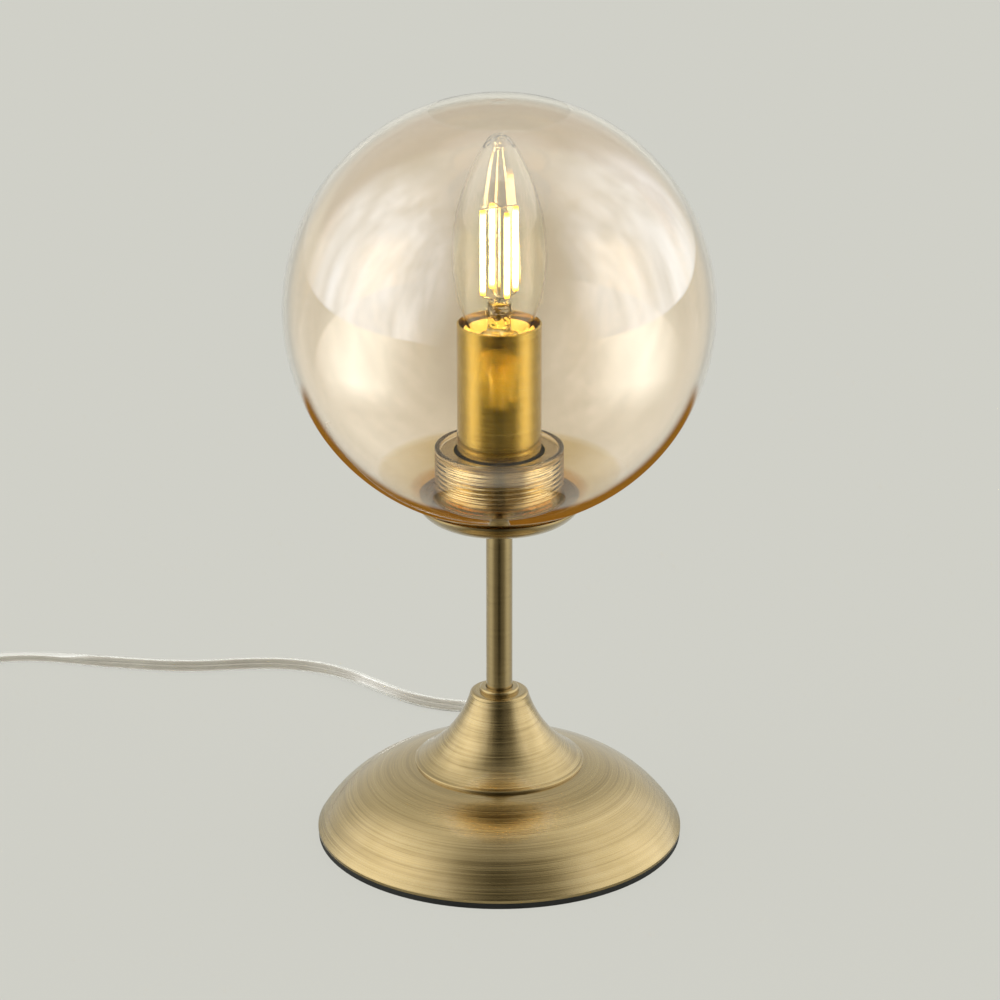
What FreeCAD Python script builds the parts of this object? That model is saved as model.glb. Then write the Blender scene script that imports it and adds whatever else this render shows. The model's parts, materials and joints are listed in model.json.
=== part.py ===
import FreeCAD, Part
import Sketcher
import math
import os
import re

# Glass globe table lamp. Millimetres, +Z up; the origin is the middle of the base pad's underside, on
# the surface that the lamp stands on, and +Y is the back, where the lead comes out.

Vector = FreeCAD.Vector

SIZES = {
    # base: pad, spun dome, cast weight
    "pad_thickness": 2.3,
    "pad_inset": 0.2,
    "base_radius": 69.6,
    "base_height": 30.2,
    "base_edge": 1.0,
    "base_wall": 1.0,
    "shoulder_radius": 22.0,
    "weight_inset": 19.6,
    "weight_gap": 4.6,
    "weight_bevel": 2.0,
    "weight_hub_radius": 17.0,
    "hub_web": 6.2,
    "recess_radius": 15.0,
    "channel_width": 8.5,
    "channel_clearance": 1.4,
    # bell over the dome
    "bell_radius": 32.2,
    "bell_height": 28.3,
    "bell_top_radius": 11.2,
    "bell_curve": 48.0,
    "bell_wall": 0.8,
    "bell_lip": 1.2,
    "bell_edge": 1.5,
    # stem and what is screwed to it
    "stem_radius": 5.0,
    "stem_wall": 1.0,
    "stem_reach": 70.2,
    "stem_grip": 15.55,
    "collar_wall": 2.5,
    "collar_height": 1.7,
    "collar_round": 0.9,
    "nut_wall": 3.5,
    "nut_height": 4.0,
    "tooth_washer_wall": 4.0,
    "tooth_washer_height": 0.8,
    "hole_clearance": 0.2,
    # gallery that carries the globe
    "dish_wall": 0.8,
    "dish_flat_inset": 0.7,
    "dish_margin": 8.8,
    "dish_rise": 6.2,
    "dish_curve": 12.0,
    "cup_floor": 1.2,
    "cup_wall": 1.2,
    "cup_gap": 4.95,
    "cup_height": 25.0,
    "cover_thickness": 0.8,
    "cover_skirt": 3.0,
    "cover_gap": 1.35,
    "gallery_nut_wall": 2.2,
    "gallery_nut_height": 2.0,
    "small_edge": 0.3,
    # globe
    "globe_radius": 80.0,
    "glass_wall": 2.0,
    "globe_seat": 4.9,
    "neck_over_cover": 1.6,
    "neck_round": 0.6,
    "fold_radius": 3.0,
    "thread_clearance": 0.3,
    # socket sleeve and lampholder
    "sleeve_gap": 1.7,
    "sleeve_wall": 0.75,
    "sleeve_height": 74.7,
    "sleeve_round": 1.0,
    "holder_nut_wall": 2.0,
    "holder_nut_height": 3.0,
    "holder_radius": 13.3,
    "holder_wall": 1.6,
    "holder_base_height": 28.55,
    "holder_body_height": 40.0,
    "holder_depth": 28.0,
    "holder_web": 3.0,
    "mouth_depth": 3.4,
    "shell_clearance": 0.35,
    "shell_wall": 0.4,
    "shell_rise": 3.6,
    "shell_drop": 7.6,
    "contact_rise": 3.0,
    "contact_gap": 0.3,
    "terminal_spread": 6.5,
    "terminal_drop": 11.0,
    # candle bulb
    "bulb_radius": 17.5,
    "belly_rise": 31.0,
    "ogive_radius": 80.0,
    "tip_radius": 5.45,
    "waist_radius": 12.33,
    "waist_rise": 5.0,
    "bulb_neck_curve": 12.0,
    "bulb_wall": 0.7,
    "cap_length": 22.0,
    "cap_skirt": 2.6,
    "cap_radius": 6.9,
    "cap_wall": 0.3,
    "cap_foot": 3.4,
    "cap_taper": 1.6,
    "filament_radius": 1.0,
    "filament_length": 32.0,
    "filament_rise": 17.0,
    "filament_ring": 6.6,
    "press_radius": 4.4,
    "press_height": 14.0,
    "lead_wire_radius": 0.3,
    # flexible lead
    "cord_radius": 2.6,
    "cord_exit_height": 7.6,
    "bush_tail": 9.4,
    "bush_inset": 12.6,
    "bush_collar_radius": 5.2,
    "bush_neck_radius": 3.9,
    "bush_tip_wall": 0.7,
    "bush_clearance": 0.1,
    "core_radius": 1.1,
    # in-line switch
    "switch_x": -232.0,
    "switch_y": 96.0,
    "switch_length": 58.0,
    "switch_width": 24.0,
    "switch_end_width": 10.0,
    "switch_height": 16.0,
    "switch_split": 7.0,
    "switch_cord_height": 5.0,
    "switch_wall": 1.6,
    "switch_edge": 1.2,
    "switch_screw_radius": 1.1,
    "switch_screw_x": 5.2,
    "switch_screw_y": 18.0,
    "rocker_length": 15.0,
    "rocker_width": 10.0,
    "rocker_gap": 0.4,
    "rocker_drop": 4.5,
    "rocker_pin_radius": 1.2,
    "rocker_tilt": 7.0,
    # plug
    "plug_face": -61.0,
    "plug_length": 36.0,
    "plug_width": 35.3,
    "plug_neck_width": 13.0,
    "plug_thickness": 13.7,
    "plug_shoulder": 10.0,
    "plug_curve": 32.0,
    "plug_edge": 3.0,
    "plug_tail": 20.0,
    "pin_radius": 2.0,
    "pin_spacing": 18.6,
    "pin_length": 19.0,
    "pin_sleeve": 10.0,
    "pin_sleeve_wall": 0.4,
    "pin_sleeve_inset": 0.2,
    # coil of the put-away lead
    "coil_y": 27.0,
    "coil_radius": 42.0,
    "coil_pitch": 6.0,
    "coil_layer": 6.2,
    "coil_climb_inset": 1.2,
}

# Levels, radii and places that several pieces share. Their cells hold these formulas.
SHARED = {
    "rim_top": "pad_thickness + base_edge",
    "dome_curve": "((base_radius - shoulder_radius) ^ 2 + (base_height - rim_top) ^ 2)"
                  " / 2 / (base_height - rim_top)",
    "dome_centre": "base_height - dome_curve",
    "weight_radius": "base_radius - weight_inset",
    "weight_top": "dome_centre + sqrt(dome_curve ^ 2 - (weight_radius - shoulder_radius) ^ 2)"
                  " - base_wall - weight_gap",
    "recess_top": "base_height - base_wall - hub_web",
    "washer_low": "recess_top - tooth_washer_height",
    "nut_low": "washer_low - nut_height",
    "stem_low": "nut_low + small_edge",
    "bore": "stem_radius + hole_clearance",
    "collar_radius": "stem_radius + collar_wall",
    "nut_flats": "2 * (stem_radius + nut_wall)",
    "tooth_washer_radius": "stem_radius + tooth_washer_wall",
    "gallery_nut_radius": "stem_radius + gallery_nut_wall",
    "holder_nut_flats": "2 * (stem_radius + holder_nut_wall)",
    "bell_top": "base_height + bell_height",
    "dish_low": "bell_top + stem_reach",
    "cup_low": "dish_low + dish_wall",
    "cup_floor_top": "cup_low + cup_floor",
    "cup_top": "cup_low + cup_height",
    "sleeve_inner": "holder_radius + sleeve_gap",
    "sleeve_radius": "sleeve_inner + sleeve_wall",
    "cup_inner": "sleeve_radius + cup_gap",
    "cup_radius": "cup_inner + cup_wall",
    "neck_bore_radius": "cup_radius + thread_clearance",
    "dish_flat_radius": "neck_bore_radius - dish_flat_inset",
    "dish_radius": "neck_bore_radius + dish_margin",
    "cover_hole_radius": "sleeve_radius + cover_gap",
    "cover_top": "cup_top + cover_thickness",
    "sleeve_floor_top": "cup_floor_top + sleeve_wall",
    "sleeve_top": "cup_floor_top + sleeve_height",
    "holder_low": "sleeve_floor_top + holder_nut_height",
    "stem_high": "holder_low + stem_grip",
    "holder_joint": "holder_low + holder_base_height",
    "holder_top": "holder_joint + holder_body_height",
    "holder_floor": "holder_top - holder_depth",
    "shell_low": "holder_floor + shell_rise",
    "shell_high": "holder_top - shell_drop",
    "shell_inner": "cap_radius + shell_clearance",
    "shell_radius": "shell_inner + shell_wall",
    "cap_skirt_radius": "cap_radius + cap_taper",
    "contact_height": "holder_floor + contact_rise",
    "terminal_low": "holder_floor - terminal_drop",
    "cap_top": "contact_height + cap_length",
    "cap_shoulder": "contact_height + cap_foot",
    "waist_height": "cap_top + waist_rise",
    "belly_height": "cap_top + belly_rise",
    "lower_radius": "((bulb_radius - waist_radius) ^ 2 + (belly_rise - waist_rise) ^ 2)"
                    " / 2 / (bulb_radius - waist_radius)",
    "filament_low": "cap_top + filament_rise",
    "press_top": "cap_top + press_height",
    "glass_inner": "globe_radius - glass_wall",
    "fold_middle": "globe_radius - fold_radius",
    "fold_centre": "neck_bore_radius + fold_radius",
    "fold_drop": "sqrt(fold_middle ^ 2 - fold_centre ^ 2)",
    "fold_height": "cup_low + globe_seat + fold_radius",
    "globe_centre": "fold_height + fold_drop",
    "neck_outer": "neck_bore_radius + glass_wall",
    "neck_top": "cover_top + neck_over_cover",
    "bush_out": "base_radius + bush_tail",
    "bush_in": "base_radius - bush_inset",
    "bush_tip_radius": "cord_radius + bush_tip_wall",
    "channel_top": "cord_exit_height + cord_radius + channel_clearance",
    "rocker_axis": "switch_height - rocker_drop",
    "coil_x": "switch_x - coil_radius",
    "plug_x": "switch_x + coil_pitch / 2",
    "plug_middle": "plug_thickness / 2",
}

doc = FreeCAD.newDocument("lamp")
sheet = doc.addObject("Spreadsheet::Sheet", "Sizes")
CELLS = {**{name: str(size) for name, size in SIZES.items()},
         **{name: "=" + formula for name, formula in SHARED.items()}}
for row, (alias, content) in enumerate(CELLS.items(), 1):
    sheet.set(f"A{row}", alias)
    sheet.set(f"B{row}", content)
    sheet.setAlias(f"B{row}", alias)
doc.recompute()

nodes = {}


def value(formula):
    """The number that a formula of the sheet's names gives."""
    return float(sheet.evalExpression(str(formula)))


def sized(formula):
    """The same formula as an expression that any object can hold."""
    return re.sub(r"[a-z]\w*", lambda m: f"Sizes.{m[0]}" if m[0] in CELLS else m[0], str(formula))


def bind(thing, **formulas):
    """Ties properties of an object to formulas; place_x, place_y and place_z tie its position."""
    for name, formula in formulas.items():
        path = name.replace("place_", "Placement.Base.")
        thing.setExpression(path, sized(formula))
    return thing


def keep(name, thing):
    """Makes a finished object one of the lamp's sub-parts."""
    thing.Label = name
    nodes[name] = thing
    return thing


def new_body(name):
    return doc.addObject("PartDesign::Body", name)


def sketch_on(body, role, name):
    """A sketch on one of the body's own origin planes."""
    sketch = body.newObject("Sketcher::SketchObject", name)
    plane = next(o for o in body.Origin.OriginFeatures if o.Role == role)
    sketch.AttachmentSupport = (plane, [""])
    sketch.MapMode = "FlatFace"
    return sketch


def fix_point(sketch, edge, end, x, y):
    """Ties one end of an edge to a place given by two formulas."""
    for kind, formula, axis in (("DistanceX", x, -2), ("DistanceY", y, -1)):
        if str(formula) == "0":
            sketch.addConstraint(Sketcher.Constraint("PointOnObject", edge, end, axis))
        else:
            number = sketch.addConstraint(
                Sketcher.Constraint(kind, -1, 1, edge, end, value(formula)))
            sketch.setExpression(f"Constraints[{number}]", sized(formula))


def arc_between(start, end, radius, side):
    """The short arc from start to end, turning left for side 1 and right for side -1."""
    half = (end - start) / 2
    left = Vector(-half.y, half.x, 0) / half.Length
    centre = start + half + left * side * math.sqrt(radius**2 - half.Length**2)
    ends = (start, end) if side > 0 else (end, start)
    angles = [math.atan2(p.y - centre.y, p.x - centre.x) for p in ends]
    return Part.ArcOfCircle(Part.Circle(centre, Vector(0, 0, 1), radius), *angles)


def outline(sketch, corners):
    """A closed outline through corners. A corner is (x, y) where a straight edge arrives, and
    (x, y, radius, side) where an arc does."""
    places = [Vector(value(c[0]), value(c[1]), 0) for c in corners]
    edges = []
    for i, corner in enumerate(corners):
        start, end = places[i - 1], places[i]
        if len(corner) == 2:
            edges.append((sketch.addGeometry(Part.LineSegment(start, end)), 1, 2))
            continue
        radius, side = corner[2:]
        edge = sketch.addGeometry(arc_between(start, end, value(radius), side))
        edges.append((edge, 1, 2) if side > 0 else (edge, 2, 1))
        number = sketch.addConstraint(Sketcher.Constraint("Radius", edge, value(radius)))
        sketch.setExpression(f"Constraints[{number}]", sized(radius))
    for i, (edge, _, last) in enumerate(edges):
        following, first, _ = edges[(i + 1) % len(edges)]
        sketch.addConstraint(Sketcher.Constraint("Coincident", edge, last, following, first))
        fix_point(sketch, edge, last, corners[i][0], corners[i][1])


def ring(sketch, x, y, radius):
    """A circle whose centre and radius are formulas."""
    circle = Part.Circle(Vector(value(x), value(y), 0), Vector(0, 0, 1), value(radius))
    edge = sketch.addGeometry(circle)
    fix_point(sketch, edge, 3, x, y)
    number = sketch.addConstraint(Sketcher.Constraint("Radius", edge, value(radius)))
    sketch.setExpression(f"Constraints[{number}]", sized(radius))


def turned(name, corners, along="Z"):
    """A body turned about Z from corners (radius, height), or about Y from corners (y, radius)."""
    body = new_body(name)
    sketch = sketch_on(body, "XZ_Plane" if along == "Z" else "YZ_Plane", name + "_section")
    outline(sketch, corners)
    turn = body.newObject("PartDesign::Revolution", name + "_turn")
    turn.Profile = sketch
    turn.ReferenceAxis = (sketch, ["V_Axis" if along == "Z" else "H_Axis"])
    turn.Angle = 360
    return body


def drawn(body, kind, name, role, draw, length, offset, middle):
    """A pad or pocket of what draw puts on a sketch, which lies offset along its plane's normal."""
    sketch = sketch_on(body, role, name + "_sketch")
    bind(sketch, **{"AttachmentOffset.Base.z": offset})
    draw(sketch)
    feature = body.newObject(kind, name)
    feature.Profile = sketch
    feature.Midplane = middle
    return bind(feature, Length=length)


def pocket(body, name, role, draw, length, offset="0", middle=False, backwards=False):
    """Cuts what draw puts on a sketch out of the body, and makes sure that it cuts."""
    doc.recompute()
    before = body.Shape.Volume
    cut = drawn(body, "PartDesign::Pocket", name, role, draw, length, offset, middle)
    cut.Reversed = backwards
    doc.recompute()
    if body.Shape.Volume > before - 1e-3:
        raise RuntimeError(f"{name} cuts nothing")


def pad(body, name, role, draw, length, offset="0", middle=False):
    """Adds what draw puts on a sketch to the body."""
    drawn(body, "PartDesign::Pad", name, role, draw, length, offset, middle)


def cylinder(name, radius, length, x="0", y="0", z="0", axis=None):
    rod = doc.addObject("Part::Cylinder", name)
    if axis:
        rod.Placement.Rotation = FreeCAD.Rotation(Vector(0, 0, 1), axis)
    return bind(rod, Radius=radius, Height=length, place_x=x, place_y=y, place_z=z)


def rectangle(sketch, x, y, half_x, half_y):
    outline(sketch, [
        (f"{x} - {half_x}", f"{y} - {half_y}"),
        (f"{x} + {half_x}", f"{y} - {half_y}"),
        (f"{x} + {half_x}", f"{y} + {half_y}"),
        (f"{x} - {half_x}", f"{y} + {half_y}"),
    ])


def hexagon(name, flats, length, low):
    """A hexagon nut with a bevelled top and the stem's bore, standing at the level low."""
    block = doc.addObject("Part::Prism", name + "_block")
    block.Polygon = 6
    bind(block, Circumradius=f"{flats} / sqrt(3)", Height=length, place_z=low)
    bevel = doc.addObject("Part::Cone", name + "_bevel")
    bind(bevel, Radius1=f"{flats} / 2 * 1.02 + {length}", Radius2=f"{flats} / 2 * 1.02",
         Height=length, place_z=low)
    rounded = doc.addObject("Part::Common", name + "_rounded")
    rounded.Base = block
    rounded.Tool = bevel
    nut = doc.addObject("Part::Cut", name)
    nut.Base = rounded
    nut.Tool = cylinder(name + "_bore", "bore", length, z=low)
    return nut


def group(name, things):
    """Like pieces that share one node as separate solids."""
    together = doc.addObject("Part::Compound", name)
    together.Links = things
    return keep(name, together)


# ---------------------------------------------------------------- flexible lead

def unit(vector):
    return vector / vector.Length


def rounded_path(points, widest=None):
    """Straight runs joined by tangent arcs. Each arc takes 0.45 of the shorter run beside it."""
    points = [Vector(*p) for p in points]
    edges, here, radii = [], points[0], []
    for before, corner, after in zip(points, points[1:], points[2:]):
        into, out = unit(corner - before), unit(after - corner)
        half = into.getAngle(out) / 2
        reach = 0.45 * min((corner - before).Length, (after - corner).Length)
        radius = reach / math.tan(half)
        if widest and radius > widest:
            radius = widest
            reach = radius * math.tan(half)
        start, end = corner - into * reach, corner + out * reach
        middle = corner + unit(out - into) * radius * (1 / math.cos(half) - 1)
        edges.append(Part.LineSegment(here, start).toShape())
        edges.append(Part.Arc(start, middle, end).toShape())
        radii.append(radius)
        here = end
    edges.append(Part.LineSegment(here, points[-1]).toShape())
    return edges, radii


def round_tube(edges, radius):
    """A round solid along tangent edges, whose first edge begins where the tube does."""
    start = edges[0].valueAt(edges[0].FirstParameter)
    direction = edges[0].tangentAt(edges[0].FirstParameter)
    shell = Part.BRepOffsetAPI.MakePipeShell(Part.Wire(edges))
    shell.add(Part.Wire(Part.Circle(start, direction, radius).toShape()))
    shell.build()
    shell.makeSolid()
    return shell.shape()


def swept(name, edges, radius):
    """Keeps a round tube as a sub-part and prints how its volume agrees with its length."""
    tube = doc.addObject("Part::Feature", name)
    tube.Shape = round_tube(edges, radius)
    length = sum(edge.Length for edge in edges)
    share = tube.Shape.Volume / (math.pi * radius**2 * length)
    print(f"{name}: {length:.1f} mm long, volume {share:.4f} of section times length")
    return keep(name, tube)


def bent(start, heading, end, heading_there):
    """Two arcs that leave start along heading and reach end along heading_there."""
    across = end - start
    both = heading + heading_there
    spread = 2 * (1 - heading.dot(heading_there))
    if spread < 1e-9:
        reach = across.dot(across) / (4 * across.dot(heading))
    else:
        along = across.dot(both)
        reach = (math.sqrt(along**2 + spread * across.dot(across)) - along) / spread
    first, second = start + heading * reach, end - heading_there * reach
    joint = (first + second) / 2
    return [quarter(start, heading, joint), quarter(end, heading_there * -1, joint, True)]


def quarter(start, heading, end, turned_round=False):
    """The arc from start to end whose tangent at start is heading."""
    chord = end - start
    square = chord - heading * chord.dot(heading)
    if square.Length < 1e-6:
        ends = (end, start) if turned_round else (start, end)
        return Part.LineSegment(*ends).toShape()
    inward = unit(square)
    radius = chord.dot(chord) / (2 * chord.dot(inward))
    centre = start + inward * radius
    middle = centre + unit((start + end) / 2 - centre) * radius
    ends = (end, start) if turned_round else (start, end)
    return Part.Arc(ends[0], middle, ends[1]).toShape()


def straight(start, end):
    return Part.LineSegment(start, end).toShape()


def lead_from_base():
    """The free lead from the bush to the switch: out of the back, round behind the base and away."""
    low, out = value("cord_radius"), value("cord_exit_height")
    switch_end = value("switch_y + switch_length / 2")
    x, into = value("switch_x"), value("switch_cord_height")
    route = [
        (0, value("bush_out"), out),
        (0, 96, out),
        (-10.5, 112, 3.4),
        (-31, 120, low),
        (-46, 135.5, low),
        (-66, 153.5, low),
        (-97, 158, low),
        (-131, 152.5, low),
        (-164, 158, low),
        (-191, 165.5, low),
        (x + 23, 165.2, low),
        (x + 8.3, 156.7, 3.6),
        (x, switch_end + 17, into),
        (x, switch_end, into),
    ]
    edges, radii = rounded_path(route)
    print("cord_lead radii", [round(r, 1) for r in radii])
    swept("cord_lead", edges, low)


def coil_of_lead():
    """Seven turns in two layers, from the switch to the plug. The first layer winds in, the innermost
    half turn climbs, and the second layer winds out over the first and half a step beyond it."""
    radius, pitch, layer = value("coil_radius"), value("coil_pitch"), value("coil_layer")
    low = value("cord_radius")
    diameter = 2 * low
    middle = Vector(value("coil_x"), value("coil_y"), low)
    half_turns, climb = 14, 7
    stops = []
    for k in range(half_turns):
        steps = k if k <= climb else half_turns + 1 - k
        inset = value("coil_climb_inset") if k in (climb, climb + 1) else 0
        away = radius - pitch / 2 * steps - inset
        stops.append(middle + Vector(-away if k % 2 else away, 0, 0 if k <= climb else layer))
    stops.append(Vector(value("plug_x"), middle.y, low + layer))
    onward, back = Vector(0, -1, 0), Vector(0, 1, 0)
    begin = Vector(stops[0].x, value("switch_y - switch_length / 2"), value("switch_cord_height"))
    settled = begin + onward * diameter
    landing = stops[0] + back * (settled.y - middle.y) / 2
    edges = [straight(begin, settled)]
    edges += bent(settled, onward, landing, onward)
    edges.append(straight(landing, stops[0]))
    for k, (start, end) in enumerate(zip(stops, stops[1:])):
        heading = back if k % 2 else onward
        if k == climb:
            edges += bent(start, heading, end, heading * -1)
        else:
            top = (start + end) / 2 + heading * ((end - start).Length / 2)
            edges.append(Part.Arc(start, top, end).toShape())
    tail = Vector(value("plug_x"), value("plug_face + plug_length + plug_tail"), value("plug_middle"))
    near_tail = tail - onward * diameter
    edges += bent(stops[-1], onward, near_tail, onward)
    edges.append(straight(near_tail, tail))
    report_gap(edges, diameter)
    swept("cord_coil", edges, low)


def report_gap(edges, diameter):
    """Prints the least gap between stretches of the tube that aren't neighbours along it."""
    points, run = [], 0.0
    for edge in edges:
        count = max(2, int(edge.Length / 2))
        for k in range(count):
            at = edge.FirstParameter + (edge.LastParameter - edge.FirstParameter) * k / count
            points.append((run + edge.Length * k / count, edge.valueAt(at)))
        run += edge.Length
    least = min((p - q).Length for i, (s, p) in enumerate(points) for t, q in points[i + 1:]
                if t - s > 4 * diameter)
    print(f"cord_coil: least gap to itself {least - diameter:.2f} mm")


# ---------------------------------------------------------------- base

def base_pad():
    edge = "base_radius - pad_inset"
    keep("base_pad", turned("base_pad", [
        ("0", "0"),
        (edge, "0"),
        (edge, "pad_thickness"),
        ("0", "pad_thickness"),
    ]))


def dome_height(radius, curve="dome_curve"):
    """The height of the dome's curve over the floor at a radius."""
    return f"(dome_centre + sqrt({curve} ^ 2 - ({radius} - shoulder_radius) ^ 2))"


def base_dome():
    inner_curve = "(dome_curve - base_wall)"
    inner_rim = "(base_radius - base_wall * 1.1)"
    body = turned("base_dome", [
        ("bore", "base_height"),
        ("bore", "base_height - base_wall"),
        ("shoulder_radius", "base_height - base_wall"),
        (inner_rim, dome_height(inner_rim, inner_curve), inner_curve, -1),
        (inner_rim, "pad_thickness"),
        ("base_radius", "pad_thickness"),
        ("base_radius", "rim_top"),
        ("shoulder_radius", "base_height", "dome_curve", 1),
    ])
    hole = "bush_neck_radius + bush_clearance"
    pocket(body, "cord_hole", "XZ_Plane",
           lambda sketch: ring(sketch, "0", "cord_exit_height", hole), "base_radius * 2")
    return keep("base_dome", body)


def base_weight():
    """The cast weight: a disc with a hub up to the dome, hollow round the nut, with a channel."""
    body = turned("base_weight", [
        ("bore", "base_height - base_wall"),
        ("bore", "recess_top"),
        ("recess_radius", "recess_top"),
        ("recess_radius", "pad_thickness"),
        ("weight_radius", "pad_thickness"),
        ("weight_radius", "weight_top - weight_bevel"),
        ("weight_radius - weight_bevel", "weight_top"),
        ("weight_hub_radius * 1.4", "weight_top + weight_bevel"),
        ("weight_hub_radius", "base_height - base_wall"),
    ])
    pocket(body, "lead_channel", "XZ_Plane",
           lambda sketch: rectangle(sketch, "0", "channel_top / 2", "channel_width / 2",
                                    "channel_top / 2"),
           "weight_radius * 2")
    keep("base_weight", body)


def cord_bush(dome):
    """The bush that holds the lead in the back of the dome, moulded on it, with a tapered tail."""
    inner_collar, rim = "(base_radius - bush_inset / 2)", "1.2"
    blank = turned("bush_blank", [
        ("bush_in", "0"),
        ("bush_out", "0"),
        ("bush_out", "bush_tip_radius"),
        (f"base_radius + {rim} * 2", f"bush_collar_radius - {rim} * 0.7"),
        (f"base_radius + {rim}", "bush_collar_radius"),
        (inner_collar, "bush_collar_radius"),
        (inner_collar, "bush_neck_radius"),
        ("bush_in + 2", "bush_neck_radius"),
        ("bush_in + 2", "bush_collar_radius"),
        ("bush_in", "bush_collar_radius"),
    ], along="Y")
    bind(blank, place_z="cord_exit_height")
    fitted = doc.addObject("Part::Cut", "cord_bush")
    fitted.Base = blank
    fitted.Tool = dome
    keep("cord_bush", fitted)


def base_bell():
    """The concave cover, which meets the dome with a small square lip."""
    shoulder = "(bell_radius - bell_lip)"
    lip_top = f"({dome_height('bell_radius')} + bell_lip)"
    shoulder_top = f"({lip_top} + bell_lip * 0.4)"
    touch = "0.04"
    keep("base_bell", turned("base_bell", [
        ("bore", "bell_top"),
        ("bore", "bell_top - bell_wall"),
        ("bell_top_radius - bell_edge", "bell_top - bell_wall"),
        ("bell_top_radius - bell_wall", "bell_top - bell_edge"),
        (f"{shoulder} - bell_wall / 2", f"{shoulder_top} - bell_wall * 1.1",
         "bell_curve + bell_wall", 1),
        (shoulder, f"{dome_height(shoulder)} + {touch}"),
        ("bell_radius", f"{dome_height('bell_radius')} + {touch}"),
        ("bell_radius", f"{lip_top} - small_edge"),
        ("bell_radius - small_edge", lip_top),
        (shoulder, shoulder_top),
        ("bell_top_radius", "bell_top - bell_edge", "bell_curve", -1),
        ("bell_top_radius - bell_edge", "bell_top", "bell_edge", 1),
    ]))


def stem():
    stem_inner = "stem_radius - stem_wall"
    keep("stem_tube", turned("stem_tube", [
        (stem_inner, "stem_low"),
        ("stem_radius", "stem_low"),
        ("stem_radius", "stem_high"),
        (stem_inner, "stem_high"),
    ]))
    collar_top = "(bell_top + collar_height)"
    keep("stem_collar", turned("stem_collar", [
        ("bore", "bell_top"),
        ("collar_radius", "bell_top"),
        ("collar_radius", f"{collar_top} - collar_round"),
        ("collar_radius - collar_round", collar_top, "collar_round", 1),
        ("bore", collar_top),
    ]))
    washer = doc.addObject("Part::Cut", "base_tooth_washer")
    washer.Base = cylinder("washer_disc", "tooth_washer_radius", "tooth_washer_height",
                           z="washer_low")
    washer.Tool = cylinder("washer_bore", "bore", "tooth_washer_height", z="washer_low")
    keep("base_tooth_washer", washer)
    keep("base_lock_nut", hexagon("base_lock_nut", "nut_flats", "nut_height", "nut_low"))


# ---------------------------------------------------------------- gallery

def gallery():
    """What the globe screws on to: nut, dish, threaded cup and the ring cover on the cup."""
    nut_low = "(dish_low - gallery_nut_height)"
    nut_edge = "0.5"
    keep("gallery_nut", turned("gallery_nut", [
        ("bore", nut_low),
        (f"gallery_nut_radius - {nut_edge}", nut_low),
        ("gallery_nut_radius", f"{nut_low} + {nut_edge}"),
        ("gallery_nut_radius", "dish_low"),
        ("bore", "dish_low"),
    ]))
    rim = "(dish_low + dish_rise)"
    keep("gallery_dish", turned("gallery_dish", [
        ("bore", "cup_low"),
        ("bore", "dish_low"),
        ("dish_flat_radius", "dish_low"),
        ("dish_radius", rim, "dish_curve", 1),
        ("dish_radius", f"{rim} + dish_wall"),
        ("dish_radius - dish_wall", f"{rim} + dish_wall"),
        ("dish_flat_radius - small_edge", "cup_low", "dish_curve - dish_wall", -1),
    ]))
    keep("gallery_cup", turned("gallery_cup", [
        ("bore", "cup_low"),
        ("cup_radius - cup_wall", "cup_low"),
        ("cup_radius", "cup_low + cup_wall"),
        ("cup_radius", "cup_top"),
        ("cup_inner", "cup_top"),
        ("cup_inner", "cup_floor_top"),
        ("bore", "cup_floor_top"),
    ]))
    keep("gallery_cover", turned("gallery_cover", [
        ("cover_hole_radius", "cup_top"),
        ("cup_inner - cover_thickness", "cup_top"),
        ("cup_inner - cover_thickness", "cup_top - cover_skirt"),
        ("cup_inner", "cup_top - cover_skirt"),
        ("cup_inner", "cup_top"),
        ("cup_radius", "cup_top"),
        ("cup_radius", "cover_top - small_edge"),
        ("cup_radius - small_edge", "cover_top"),
        ("cover_hole_radius", "cover_top"),
    ]))


# ---------------------------------------------------------------- socket

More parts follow.
